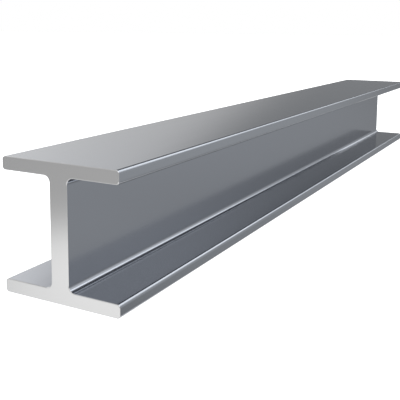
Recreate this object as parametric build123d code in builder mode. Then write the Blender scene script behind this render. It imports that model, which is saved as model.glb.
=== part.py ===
"""A cut length of wide-flange steel beam, hot rolled in one piece, standing on its lower flange.

Two equal flat flanges lie parallel, one at the floor and one on top, and an upright web joins
their middles. The web is thick, one and a half times the flange, as the photograph shows it.
A concave root fillet runs along each of the four corners where the web meets a flange, and the
rolled corners of the flange toes are slightly rounded. Both ends are sawn square and deburred.

Frame: the length lies along X, the flanges are level and their width lies along Y, Z is up.
The origin is at the middle of the length and of the width, at the underside of the lower flange.
"""

import os

from build123d import *

# Driving dimensions, in millimetres
LENGTH = 1700.0
DEPTH = 200.0  # over the outer faces of both flanges
FLANGE_WIDTH = 200.0
FLANGE_THICKNESS = 20.0
WEB_THICKNESS = 30.0
ROOT_RADIUS = 10.0  # concave, between the web and a flange
TOE_RADIUS = 5.0  # convex, at the corners of a flange's edge
EDGE_BREAK = 1.0  # chamfer where the saw burr was taken off the ends

# The clear height of the web between the flanges follows from the section
WEB_HEIGHT = DEPTH - 2 * FLANGE_THICKNESS

with BuildPart() as beam:
    # The section is drawn on the plane of one end: its X is the beam's width, its Y the height
    with BuildSketch(Plane.YZ.offset(-LENGTH / 2)) as section:
        # Both flanges, with their toe corners already round
        with Locations((0, FLANGE_THICKNESS / 2), (0, DEPTH - FLANGE_THICKNESS / 2)):
            RectangleRounded(FLANGE_WIDTH, FLANGE_THICKNESS, TOE_RADIUS)
        # The web between them
        with Locations((0, DEPTH / 2)):
            Rectangle(WEB_THICKNESS, WEB_HEIGHT)
        # The two middle columns of corners are the roots, where the web meets a flange
        columns = section.vertices().group_by(Axis.X)
        middle = len(columns) // 2
        fillet(columns[middle - 1] + columns[middle], ROOT_RADIUS)
    # Rolling carries the section along the whole length
    extrude(amount=LENGTH)
    # The saw leaves two flat ends, and their outlines are deburred all round
    ends = beam.faces().filter_by(Axis.X)
    chamfer(ends.edges(), EDGE_BREAK)

beam.part.label = "beam"

os.makedirs("parts", exist_ok=True)
export_step(beam.part, "parts/beam.step")
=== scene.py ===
# %% [markdown]
# # A length of wide-flange steel beam
# The real thing is one bar of steel. Hot rolls squeeze a glowing billet into two wide flanges
# joined by a web, and a saw then cuts the bar square. So there is one piece to make, and what
# tells the eye that it is steel is its rounded edges and the way its long faces mirror the room.
#
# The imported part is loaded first. It gives the beam's place and size in metres: the length runs
# along X, the flanges lie across Y, and Z points up from the floor.
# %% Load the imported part
import math

import bpy
import numpy as np
from mathutils import Matrix, Vector


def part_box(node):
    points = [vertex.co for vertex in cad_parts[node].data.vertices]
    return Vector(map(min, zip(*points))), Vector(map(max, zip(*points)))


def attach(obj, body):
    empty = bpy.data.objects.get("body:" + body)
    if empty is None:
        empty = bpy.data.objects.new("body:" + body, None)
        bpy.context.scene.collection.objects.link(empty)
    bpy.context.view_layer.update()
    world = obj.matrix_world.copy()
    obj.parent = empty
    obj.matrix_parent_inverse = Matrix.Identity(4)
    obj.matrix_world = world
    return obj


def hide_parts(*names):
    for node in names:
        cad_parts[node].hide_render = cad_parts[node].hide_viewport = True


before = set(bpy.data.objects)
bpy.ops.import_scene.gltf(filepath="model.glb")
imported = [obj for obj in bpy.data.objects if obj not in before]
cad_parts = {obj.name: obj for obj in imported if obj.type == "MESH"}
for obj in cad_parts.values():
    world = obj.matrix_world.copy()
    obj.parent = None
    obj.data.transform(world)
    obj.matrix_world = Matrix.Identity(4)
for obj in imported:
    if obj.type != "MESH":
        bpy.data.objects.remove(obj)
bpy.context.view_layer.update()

low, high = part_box("beam")
LENGTH, WIDTH, DEPTH = high - low
MIDDLE = (low + high) / 2
print("beam, in metres:", round(LENGTH, 4), round(WIDTH, 4), round(DEPTH, 4))

# %% [markdown]
# ## The camera
# The camera comes first, because every later choice is judged through it. It stands to the
# right of the near end, a little above the beam, and looks along it. A very long lens from far
# away would flatten the bar, and a wide one close by would stretch it. This one is mild.
# Tilting a camera down makes upright edges lean together. Here it tilts only a little, and a
# shift slides the picture down to the beam instead, so the sawn end keeps its square look.
# The camera's place, turn and focal length aren't chosen by eye: another program solved them
# from where the beam's edges lie in the photograph.
# %% Camera
CAMERA_PLACE = Vector((-1.5489, -0.5927, 0.3811))
HEADING = 28.26  # degrees, from straight along the beam towards its far side
LOOKING_DOWN = 7.75  # degrees below level
ROLL = 0.41  # degrees
FOCAL_LENGTH = 61.15  # mm, on a sensor 36 mm wide
SHIFT = -0.2  # of the picture's width


def look(heading, down, roll):
    """The turn of a camera: its -Z axis points the way it looks, and its X axis to the right.

    Forward is (cos h cos d, sin h cos d, -sin d). Right is level, and up is right x forward.
    The roll then turns right and up about forward.
    """
    h, d, r = (math.radians(a) for a in (heading, down, roll))
    forward = Vector((math.cos(h) * math.cos(d), math.sin(h) * math.cos(d), -math.sin(d)))
    right = Vector((math.sin(h), -math.cos(h), 0.0))
    up = right.cross(forward)
    right, up = right * math.cos(r) + up * math.sin(r), up * math.cos(r) - right * math.sin(r)
    return Matrix((right, up, -forward)).transposed()


camera = bpy.data.objects.new("camera", bpy.data.cameras.new("camera"))
camera.data.lens = FOCAL_LENGTH
camera.data.shift_y = SHIFT
camera.location = CAMERA_PLACE
camera.rotation_euler = look(HEADING, LOOKING_DOWN, ROLL).to_euler()
bpy.context.scene.collection.objects.link(camera)
bpy.context.scene.camera = camera
print("camera stands", round((CAMERA_PLACE - MIDDLE).length, 2), "m from the beam's middle")

# %% [markdown]
# ## The section
# A rolled section has no sharp corner: each flange toe is slightly round, and a hollow fillet
# fills each root, where the web meets a flange. These arcs catch the thin bright lines that run
# down the bar, so they are worked out exactly, each point with the direction that the surface
# faces there. The section is the same left and right, and top and bottom, so one quarter is
# enough and three mirrored copies close the outline.
# %% Sizes of the section, in metres
FLANGE_THICKNESS = 0.020
WEB_THICKNESS = 0.030
TOE_RADIUS = 0.005
ROOT_RADIUS = 0.010
TOE_STEPS = 10  # facets in each quarter round
ROOT_STEPS = 16
print("clear height between the flanges:", round(DEPTH - 2 * FLANGE_THICKNESS, 4))


# %% One arc
def arc(centre, radius, start, end, steps, hollow=False):
    """Points of an arc, one row each: y, z and the outward direction there.

    A point is the centre plus the radius times (cos a, sin a), for angles a from start to end,
    and the surface faces along (cos a, sin a), or the other way on a hollow arc.
    """
    a = np.radians(np.linspace(start, end, steps + 1))
    ray = np.column_stack([np.cos(a), np.sin(a)])
    return np.hstack([np.array(centre) + radius * ray, -ray if hollow else ray])


toe = arc((WIDTH / 2 - TOE_RADIUS, DEPTH / 2 - TOE_RADIUS), TOE_RADIUS, 90, 0, TOE_STEPS)
print("a toe corner runs from", toe[0, :2].round(4), "to", toe[-1, :2].round(4))


# %% The whole outline
def quarter_outline():
    """From the middle of the top face, round the toe and down the root, to the web's middle."""
    half_web = WEB_THICKNESS / 2
    underside = DEPTH / 2 - FLANGE_THICKNESS
    lower_toe = (WIDTH / 2 - TOE_RADIUS, underside + TOE_RADIUS)
    root = (half_web + ROOT_RADIUS, underside - ROOT_RADIUS)
    return np.vstack([
        [[0.0, DEPTH / 2, 0.0, 1.0]],
        toe,
        arc(lower_toe, TOE_RADIUS, 0, -90, TOE_STEPS),
        arc(root, ROOT_RADIUS, 90, 180, ROOT_STEPS, hollow=True),
        [[half_web, 0.0, 1.0, 0.0]],
    ])


def whole_outline():
    """The quarter mirrored in height makes one side, and that side mirrored across makes both."""
    quarter = quarter_outline()
    side = np.vstack([quarter, (quarter * [1, -1, 1, -1])[-2::-1]])
    return np.vstack([side, (side * [-1, 1, -1, 1])[-2:0:-1]])


outline = whole_outline()
print("the outline has", len(outline), "points")

# %% [markdown]
# ## The bar
# The rolls carry that outline along a straight path, so the skin is a grid: one parameter goes
# round the section and the other along the length. The saw leaves a sharp edge and a burr at
# each end, which is filed off, so the first and last rows of the grid round the edge over.
# A box with a bevel would be quicker, but its shading would bend across the wide flat faces.
# Here each corner of each face is told its exact direction, so flat stays flat.
# %% Rows along the length
EDGE_BREAK = 0.001
EDGE_STEPS = 4
ROW_SPACING = 0.05


def stations():
    """One row for each outline along the bar: x, how far it is drawn in, its tilt back and out.

    At an end the edge is a quarter round: for angles p from 0 to 90 degrees, x goes in from the
    end by e (1 - cos p), the outline is drawn in by e (1 - sin p), and the surface faces by
    cos p along the bar and by sin p outwards. Between the ends the outline is full size.
    """
    p = np.radians(np.linspace(0, 90, EDGE_STEPS + 1))
    in_by, drawn_in = EDGE_BREAK * (1 - np.cos(p)), EDGE_BREAK * (1 - np.sin(p))
    near = np.column_stack([low.x + in_by, drawn_in, -np.cos(p), np.sin(p)])
    far = np.column_stack([high.x - in_by, drawn_in, np.cos(p), np.sin(p)])[::-1]
    rows = int(round(LENGTH / ROW_SPACING))
    x = np.linspace(near[-1, 0], far[0, 0], rows + 1)[1:-1]
    between = np.column_stack([x, 0 * x, 0 * x, 0 * x + 1])
    return np.vstack([near, between, far])


rows = stations()
print("the bar has", len(rows), "rows, from x", rows[0, 0].round(3), "to", rows[-1, 0].round(3))


# %% The skin as a grid
def swept(rows, section):
    """The grid of points and of directions, each with shape (rows, points, 3)."""
    x, drawn_in, along, out = (rows[:, k, None] for k in range(4))
    y, z, face_y, face_z = (section[None, :, k] for k in range(4))
    points = np.stack(np.broadcast_arrays(x, y - drawn_in * face_y, z - drawn_in * face_z), -1)
    facing = np.stack(np.broadcast_arrays(along, out * face_y, out * face_z), -1)
    return points + [0, MIDDLE.y, MIDDLE.z], facing


def skin_faces(rows, points):
    """Four-sided faces of a grid that closes on itself in its second parameter."""
    k, i = np.meshgrid(np.arange(rows - 1), np.arange(points), indexing="ij")
    after = (i + 1) % points
    corners = [k * points + i, (k + 1) * points + i, (k + 1) * points + after, k * points + after]
    return np.stack(corners, -1).reshape(-1, 4)


points, facing = swept(rows, outline)
skin = skin_faces(len(rows), len(outline))
print("the skin has", len(skin), "faces")

# %% The mesh, closed by one flat face at each end
near_end = np.arange(len(outline))
far_end = (len(rows) - 1) * len(outline) + near_end[::-1]
mesh = bpy.data.meshes.new("steel_beam")
mesh.from_pydata(points.reshape(-1, 3), [], [*skin.tolist(), near_end.tolist(), far_end.tolist()])
mesh.polygons.foreach_set("use_smooth", np.ones(len(mesh.polygons), bool))
mesh.normals_split_custom_set_from_vertices(facing.reshape(-1, 3))
beam = bpy.data.objects.new("steel_beam", mesh)
bpy.context.scene.collection.objects.link(beam)
print("the bar has", len(mesh.vertices), "points and", len(mesh.polygons), "faces")

# %% [markdown]
# ## Rolled steel
# The rolls press the long faces smooth, and unpainted they are a satin mirror, so Metallic is 1.
# Hot rolling leaves a thin skin on the steel, and Base Color is a grey with a little blue for it.
# A metal mirrors more and more as the eye nears its plane, and Specular Tint holds that back a
# little here. Roughness sets how soft the reflections are. All of these are set for the looks,
# and none is a measured property of steel.
# The rolls also leave faint lines along the bar. A noise stretched over a hundredfold along X
# varies the roughness a little, and it reads Object coordinates, so the lines are part of the
# piece and stay on it from every side.
# The toes' flat faces are painted a little brighter than the web, though they face the same way. This
# is painted light, for the light that reaches the open toes but that the flanges keep from the web. A
# second grey is mixed in there, by how far a point lies from the bar's middle, and it reaches a little
# way into the toes' rounds too.
# %% Nodes for a metal with faint lines
NOISE_LOW = 0.3  # most of the noise lies between these two
NOISE_HIGH = 0.7


def new_material(name):
    """An empty material: (the material, its nodes, its links and its Principled shader)."""
    material = bpy.data.materials.new(name)
    material.use_nodes = True
    nodes, links = material.node_tree.nodes, material.node_tree.links
    return material, nodes, links, nodes["Principled BSDF"]


def stretched_noise(nodes, links, scale, detail):
    """Noise on Object coordinates, scaled by its own amount along each axis."""
    place = nodes.new("ShaderNodeTexCoord")
    mapping = nodes.new("ShaderNodeMapping")
    mapping.inputs["Scale"].default_value = scale
    noise = nodes.new("ShaderNodeTexNoise")
    noise.inputs["Scale"].default_value = 1.0
    noise.inputs["Detail"].default_value = detail
    links.new(place.outputs["Object"], mapping.inputs["Vector"])
    links.new(mapping.outputs["Vector"], noise.inputs["Vector"])
    return noise.outputs["Fac"]


def spread(nodes, links, noise, lowest, highest):
    """The noise, spread over a range."""
    out = nodes.new("ShaderNodeMapRange")
    out.inputs["From Min"].default_value = NOISE_LOW
    out.inputs["From Max"].default_value = NOISE_HIGH
    out.inputs["To Min"].default_value = lowest
    out.inputs["To Max"].default_value = highest
    links.new(noise, out.inputs["Value"])
    return out.outputs["Result"]


print("noise from", NOISE_LOW, "to", NOISE_HIGH, "is spread over the roughness")

# %% The toes' painted light
ROLLED_GREY = (0.387, 0.40, 0.427, 1.0)
# Painted light: this brighter grey on the toes stands for light that the flanges keep from the web.
TOE_PAINTED_LIGHT_GREY = (0.45, 0.465, 0.49, 1.0)
TOE_PAINTED_LIGHT_STARTS = 0.15 * TOE_RADIUS  # in from the toe's flat face
TOE_PAINTED_LIGHT_FULL = 0.02 * TOE_RADIUS


def toe_painted_light_share(nodes, links):
    """Share of the toes' painted light: 1 on their flat faces and 0 further in, by distance from the
    middle.

    The distance is |y|, and the share goes from 0 to 1 in a straight line between two of them.
    """
    place = nodes.new("ShaderNodeTexCoord")
    split = nodes.new("ShaderNodeSeparateXYZ")
    aside = nodes.new("ShaderNodeMath")
    aside.operation = "ABSOLUTE"
    out = nodes.new("ShaderNodeMapRange")
    out.inputs["From Min"].default_value = WIDTH / 2 - TOE_PAINTED_LIGHT_STARTS
    out.inputs["From Max"].default_value = WIDTH / 2 - TOE_PAINTED_LIGHT_FULL
    links.new(place.outputs["Object"], split.inputs["Vector"])
    links.new(split.outputs["Y"], aside.inputs[0])
    links.new(aside.outputs["Value"], out.inputs["Value"])
    return out.outputs["Result"]


print("the toes turn brighter in their last", round(1000 * TOE_PAINTED_LIGHT_STARTS, 2), "mm")

# %% Rolled steel, with the toes' painted light
ROLLED_EDGE = (0.7, 0.7, 0.7, 1.0)
ROLLED_ROUGHNESS = (0.16, 0.17)
LINES = (1.0, 120.0, 120.0)  # how often the noise varies in a metre, along X, Y and Z
LINE_DETAIL = 3.0


def rolled_steel_with_painted_light():
    """Satin, bluish, with painted light on the toes, and faint lines along the bar."""
    material, nodes, links, shader = new_material("rolled_steel_with_painted_light")
    shader.inputs["Metallic"].default_value = 1.0
    grey_and_painted_light = nodes.new("ShaderNodeMix")
    grey_and_painted_light.data_type = "RGBA"
    grey_and_painted_light.inputs["A"].default_value = ROLLED_GREY
    grey_and_painted_light.inputs["B"].default_value = TOE_PAINTED_LIGHT_GREY
    # The toes' painted light is mixed into the base colour here.
    links.new(toe_painted_light_share(nodes, links), grey_and_painted_light.inputs["Factor"])
    links.new(grey_and_painted_light.outputs["Result"], shader.inputs["Base Color"])
    shader.inputs["Specular Tint"].default_value = ROLLED_EDGE
    lines = stretched_noise(nodes, links, LINES, LINE_DETAIL)
    links.new(spread(nodes, links, lines, *ROLLED_ROUGHNESS), shader.inputs["Roughness"])
    return material


mesh.materials.append(rolled_steel_with_painted_light())
print("roughness of the rolled faces:", ROLLED_ROUGHNESS)

# %% [markdown]
# ## Sawn steel
# The blade cuts through the skin, so an end shows bare metal: the same steel, but brighter and
# without the blue. One roughness all over is enough, because the cut is fine and even.
# A second material on the same mesh does it, given to the end faces and the filed edge.
# %% Sawn steel
SAWN_GREY = (0.585, 0.585, 0.585, 1.0)
SAWN_ROUGHNESS = 0.15


def sawn_steel():
    """Neutral, and brighter than the rolled faces."""
    material, _, _, shader = new_material("sawn_steel")
    shader.inputs["Metallic"].default_value = 1.0
    shader.inputs["Base Color"].default_value = SAWN_GREY
    shader.inputs["Roughness"].default_value = SAWN_ROUGHNESS
    return material


mesh.materials.append(sawn_steel())
filed = EDGE_STEPS * len(outline)
sawn = np.zeros(len(mesh.polygons), np.int32)
sawn[:filed] = 1
sawn[len(skin) - filed:] = 1
mesh.polygons.foreach_set("material_index", sawn)
print(int(sawn.sum()), "faces are sawn or filed")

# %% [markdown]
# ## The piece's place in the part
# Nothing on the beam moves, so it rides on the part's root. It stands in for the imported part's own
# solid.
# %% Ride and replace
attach(beam, "root")
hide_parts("beam")
print("one piece,", beam.name, "in place of the solid")

# %% [markdown]
# ## The floor
# The beam stands on a pale level floor without a texture. The sheet glows, so that it stays as
# bright as the white around it, also where the beam stands in its light.
# The steel doesn't mirror the sheet, and the sheet neither lights it nor keeps light from it,
# because the room in the next step holds the light that comes up from the floor.
# %% Floor
FLOOR_SIZE = 60.0  # m
FLOOR_GREY = (0.8, 0.8, 0.8, 1.0)
FLOOR_GLOW = 0.8


def pale_floor():
    """A square sheet at the height of the beam's underside."""
    half = FLOOR_SIZE / 2
    corners = [(-half, -half, 0), (half, -half, 0), (half, half, 0), (-half, half, 0)]
    sheet = bpy.data.meshes.new("floor")
    sheet.from_pydata(corners, [], [(0, 1, 2, 3)])
    floor = bpy.data.objects.new("floor", sheet)
    floor.location.z = low.z
    bpy.context.scene.collection.objects.link(floor)
    material, _, _, shader = new_material("pale_floor")
    shader.inputs["Base Color"].default_value = FLOOR_GREY
    shader.inputs["Roughness"].default_value = 1.0
    shader.inputs["Specular IOR Level"].default_value = 0.0
    shader.inputs["Emission Color"].default_value = (1.0, 1.0, 1.0, 1.0)
    shader.inputs["Emission Strength"].default_value = FLOOR_GLOW
    material.cycles.emission_sampling = "NONE"
    sheet.materials.append(material)
    floor.visible_glossy = False
    floor.visible_shadow = False
    return floor


floor = pale_floor()
print("floor at height", floor.location.z)

# %% [markdown]
# ## The room that the steel mirrors
# A metal shows the room around it, so lighting it means building a room. A photographer hangs
# large soft panels: a pale one behind the camera for the sawn end, and one high on the right for
# the thin bright lines along the fillets and the toes. Far down the bar those lines mirror only
# what is nearly straight ahead, so a narrow bright strip hangs there too. Greys fill the rest, so
# that the long faces have something quiet to mirror.
# Lamps could do it, but each soft change from one panel to the next would need a lamp of its
# own. Here the world is the room: for each direction a few colour ramps give the brightness,
# from straight down, where the floor's light comes from, to straight up. Azimuth then mixes
# one side of the room into the next. The camera itself sees plain white.
# Most numbers in the next two cells come from the photograph by way of other programs, which worked
# out how bright the room has to be in the directions that the beam mirrors. The results were rounded
# and typed in, and then changed in several rounds.
# %% The walls, floor and ceiling of the room
# Each pair is an elevation in degrees and the brightness there.
AHEAD = [(-90, 1.1), (-40, 0.7), (-24, 0.7), (-10, 0.38), (0, 0.31), (8, 0.38),
         (24, 0.3), (38, 0.25), (50, 0.7), (60, 1.1), (90, 1.2)]
STRIP = [(-90, 1.2), (-20, 1.0), (-10, 0.4), (0, 0.24), (8, 0.3),
         (12, 0.6), (17, 2.4), (40, 2.0), (60, 1.4), (90, 1.2)]
HALF_RIGHT = [(-90, 1.2), (-40, 2.6), (-30, 0.3), (-24, 0.33), (-18, 0.34), (-13, 0.54),
              (-7, 0.58), (1, 0.5), (8, 0.8), (11, 0.8), (14, 0.62), (17, 0.68),
              (20, 0.95), (23, 2.2), (27, 2.6), (34, 1.9), (60, 1.4), (90, 1.2)]
RIGHT = [(-90, 1.2), (-40, 1.1), (-30, 0.2), (-24, 0.31), (-18, 0.53), (-13, 0.5),
         (-7, 0.6), (1, 0.48), (8, 0.4), (11, 0.85), (14, 1.15), (17, 1.1),
         (20, 0.98), (23, 0.85), (27, 0.9), (34, 2.7), (60, 1.5), (90, 1.2)]
LEFT = [(-90, 1.5), (0, 0.74), (10, 1.32), (20, 2.18), (30, 2.3), (45, 0.4), (60, 1.1), (90, 1.2)]
BEHIND = [(-90, 0.9), (-24, 1.27), (-20, 1.38), (-17.7, 1.5), (-16.2, 0.73), (-14.8, 0.48),
          (-12, 0.62), (0, 0.4), (20, 1.2), (45, 0.8), (60, 1.2), (90, 1.2)]
SIDES = (AHEAD, STRIP, HALF_RIGHT, RIGHT, LEFT, BEHIND)
BRIGHTEST = 5.0  # ramps hold colours up to 1, which stands for this brightness
COOL = (0.97, 1.0, 1.04)
NEUTRAL = (1.0, 1.0, 1.0)
print("the room's", len(SIDES), "sides have", sum(map(len, SIDES)), "stops")

# %% Where one side gives way to the next
# Each pair is an azimuth in degrees, anticlockwise from ahead, and a share from 0 to 1. Before
# the first pair and after the last the share stays as it is there.
TO_HALF_RIGHT = [(-16, 1.0), (-4, 0.0)]
TO_THE_RIGHT = [(-36, 1.0), (-16, 0.0)]
TO_THE_STRIP = [(-13, 0.0), (-10, 1.0), (-3, 1.0), (1, 0.0)]
TO_THE_LEFT = [(24, 0.0), (26, 0.42), (28, 0.7), (36, 0.75), (41, 1.0), (60, 1.0), (100, 0.5),
               (130, 0.3)]
TO_THE_BACK = [(-110, 1.0), (-60, 0.0), (80, 0.0), (133, 0.38), (138.5, 0.88), (144, 1.0)]
# The near edge of the left side leans: so many degrees of azimuth for each one of elevation.
LEFT_LEAN = 1.1
LEFT_FOOT = 8  # the elevation at which the azimuths of TO_THE_LEFT hold
print("the left starts at", TO_THE_LEFT[0][0], "degrees and the back is whole from", TO_THE_BACK[-1][0])


# %% Nodes for the room
MOST_STOPS = 32  # that one colour ramp can hold


def ramp_of(nodes, links, value, profile, lowest, highest, tint, full):
    """A colour ramp through the pairs of a profile, whose places run from lowest to highest."""
    ramp = nodes.new("ShaderNodeValToRGB")
    elements = ramp.color_ramp.elements
    while len(elements) < len(profile):
        elements.new(0.5)
    for element, (place, brightness) in zip(elements, profile):
        element.position = (place - lowest) / (highest - lowest)
        element.color = (*(brightness / full * part for part in tint), 1.0)
    links.new(value, ramp.inputs["Fac"])
    return ramp.outputs["Color"]


def math_node(nodes, links, operation, *values):
    """One sum; each value is a number or a socket."""
    node = nodes.new("ShaderNodeMath")
    node.operation = operation
    for socket, value in zip(node.inputs, values):
        if isinstance(value, (int, float)):
            socket.default_value = value
        else:
            links.new(value, socket)
    return node.outputs["Value"]


def mixed(nodes, links, share, first, second):
    """The first colour where the share is 0 and the second where it is 1."""
    mix = nodes.new("ShaderNodeMix")
    mix.data_type = "RGBA"
    links.new(share, mix.inputs["Factor"])
    links.new(first, mix.inputs["A"])
    links.new(second, mix.inputs["B"])
    return mix.outputs["Result"]


print("the longest profile has", max(map(len, SIDES)), "stops, and a ramp can hold", MOST_STOPS)

# %% Directions of the room
def directions(nodes, links):
    """Three sockets from 0 to 1: height, turn and leaning turn.

    Height is 0 straight down and 1 straight up. Turn goes from 0 to 1 as the azimuth goes from
    -180 to 180 degrees, and the leaning turn takes away so much for each degree of elevation.
    """
    place = nodes.new("ShaderNodeTexCoord")
    split = nodes.new("ShaderNodeSeparateXYZ")
    links.new(place.outputs["Generated"], split.inputs["Vector"])
    elevation = math_node(nodes, links, "ARCSINE", split.outputs["Z"])
    azimuth = math_node(nodes, links, "ARCTAN2", split.outputs["Y"], split.outputs["X"])
    height = math_node(nodes, links, "MULTIPLY_ADD", elevation, 1 / math.pi, 0.5)
    turn = math_node(nodes, links, "MULTIPLY_ADD", azimuth, 0.5 / math.pi, 0.5)
    leaned = math_node(nodes, links, "MULTIPLY_ADD", elevation, -LEFT_LEAN * 0.5 / math.pi, turn)
    return height, turn, math_node(nodes, links, "ADD", leaned, LEFT_LEAN * LEFT_FOOT / 360)


def room_colour(nodes, links):
    """Ahead with its half right and right, then the strip, the left, and last what is behind."""
    height, turn, leaning = directions(nodes, links)

    def side(profile, tint):
        return ramp_of(nodes, links, height, profile, -90, 90, tint, BRIGHTEST)

    def share(value, profile):
        return ramp_of(nodes, links, value, profile, -180, 180, NEUTRAL, 1.0)

    right = mixed(nodes, links, share(turn, TO_THE_RIGHT), side(HALF_RIGHT, COOL), side(RIGHT, COOL))
    front = mixed(nodes, links, share(turn, TO_HALF_RIGHT), side(AHEAD, COOL), right)
    front = mixed(nodes, links, share(turn, TO_THE_STRIP), front, side(STRIP, COOL))
    front = mixed(nodes, links, share(leaning, TO_THE_LEFT), front, side(LEFT, NEUTRAL))
    return mixed(nodes, links, share(turn, TO_THE_BACK), front, side(BEHIND, NEUTRAL))


print("the left's near edge leans by", LEFT_LEAN, "degrees for each degree up")

# %% The world
def studio():
    """A world that is white to the camera and a soft studio to the steel."""
    world = bpy.data.worlds.new("studio")
    bpy.context.scene.world = world
    world.use_nodes = True
    nodes, links = world.node_tree.nodes, world.node_tree.links
    nodes.clear()
    room = nodes.new("ShaderNodeBackground")
    room.inputs["Strength"].default_value = BRIGHTEST
    links.new(room_colour(nodes, links), room.inputs["Color"])
    white = nodes.new("ShaderNodeBackground")
    white.inputs["Color"].default_value = (1.0, 1.0, 1.0, 1.0)
    seen = nodes.new("ShaderNodeLightPath")
    either = nodes.new("ShaderNodeMixShader")
    links.new(seen.outputs["Is Camera Ray"], either.inputs["Fac"])
    links.new(room.outputs["Background"], either.inputs[1])
    links.new(white.outputs["Background"], either.inputs[2])
    out = nodes.new("ShaderNodeOutputWorld")
    links.new(either.outputs["Shader"], out.inputs["Surface"])
    return world


world = studio()
bpy.context.scene.view_settings.view_transform = "Standard"
print("the room is made of", len(world.node_tree.nodes), "nodes")
